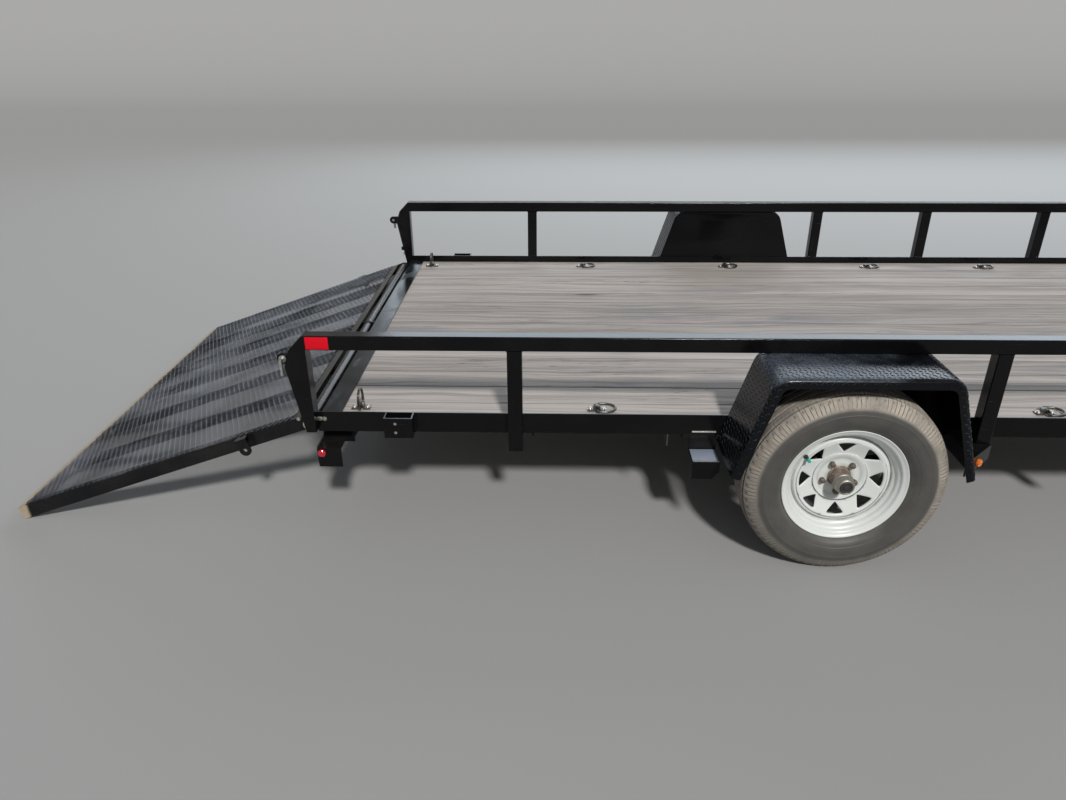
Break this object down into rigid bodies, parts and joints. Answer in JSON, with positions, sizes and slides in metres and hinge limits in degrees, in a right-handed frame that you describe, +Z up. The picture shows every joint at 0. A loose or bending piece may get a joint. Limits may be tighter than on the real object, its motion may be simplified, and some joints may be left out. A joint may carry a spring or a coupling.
{
  "type": "utility trailer",
  "caption": "Single-axle open utility trailer with square-tube side rails, wood plank deck, tread-plate fenders, mesh ramp gate lowered to the ground and a tongue jack.",
  "frame": {"origin": "on the ground, midway between the tip of the lowered ramp and the nose of the coupler, on the middle plane", "axes": "+X forward in the direction of towing, +Y to the trailer's left, +Z up"},
  "size_m": [6.7682, 2.518, 0.938],
  "materials": {
    "black_paint": "gloss black enamel on steel",
    "tread_plate": "gloss black enamel on diamond tread plate, plain on the inner plate",
    "mesh_steel": "black paint on expanded metal, dusty",
    "deck_wood": "weathered treated softwood boards",
    "zinc": "bright zinc plate, a little dull",
    "zinc_coupler": "black coated pressed steel",
    "axle_paint": "satin black paint with road dust",
    "spring_steel": "grey-black oiled spring steel",
    "tyre_rubber": "black rubber with dusty brown shoulders",
    "rim_silver": "light grey silver paint, dusty",
    "hub_iron": "dusty, lightly rusted casting with a greasy cap",
    "red_lens": "clear red moulded lens",
    "amber_lens": "clear amber moulded lens"
  },
  "bodies": {
    "chassis": {"frame_side_right": "black_paint", "frame_side_left": "black_paint", "rear_sill": "black_paint", "front_member": "black_paint", "crossmembers": "black_paint", "deck_boards": "deck_wood", "top_rail_right": "black_paint", "top_rail_left": "black_paint", "top_rail_front": "black_paint", "uprights_right": "black_paint", "uprights_left": "black_paint", "uprights_front": "black_paint", "rear_post_right": "black_paint", "rear_post_left": "black_paint", "latch_pins": "zinc", "hinge_rod": "zinc", "fender_left": "tread_plate", "fender_right": "tread_plate", "fender_brackets": "black_paint", "stake_pockets": "black_paint", "tie_down_rings": "zinc", "light_boxes": "black_paint", "tail_lamps": "red_lens", "red_markers": "red_lens", "amber_markers": "amber_lens", "axle": "axle_paint", "leaf_springs": "spring_steel", "spring_hangers": "black_paint", "tongue_left": "black_paint", "tongue_right": "black_paint", "coupler": "zinc_coupler", "jack_tube": "black_paint", "jack_leg": "zinc", "jack_crank": "zinc"},
    "ramp": {"ramp_frame": "black_paint", "ramp_bars": "black_paint", "ramp_mesh": "mesh_steel"},
    "wheel_left": {"tyre_left": "tyre_rubber", "rim_left": "rim_silver", "hub_left": "hub_iron"},
    "wheel_right": {"tyre_right": "tyre_rubber", "rim_right": "rim_silver", "hub_right": "hub_iron"}
  },
  "joints": [
    {"name": "ramp_hinge", "type": "hinge", "parent": "chassis", "child": "ramp", "pos_m": [-2.19627, 0, 0.438], "axis": [0, 1, 0], "range_deg": [0, 102.84]},
    {"name": "wheel_left_spin", "type": "hinge", "parent": "chassis", "child": "wheel_left", "pos_m": [-0.35827, 1.1297, 0.34], "axis": [0, 1, 0], "continuous": true},
    {"name": "wheel_right_spin", "type": "hinge", "parent": "chassis", "child": "wheel_right", "pos_m": [-0.35827, -1.1297, 0.34], "axis": [0, 1, 0], "continuous": true}
  ]
}
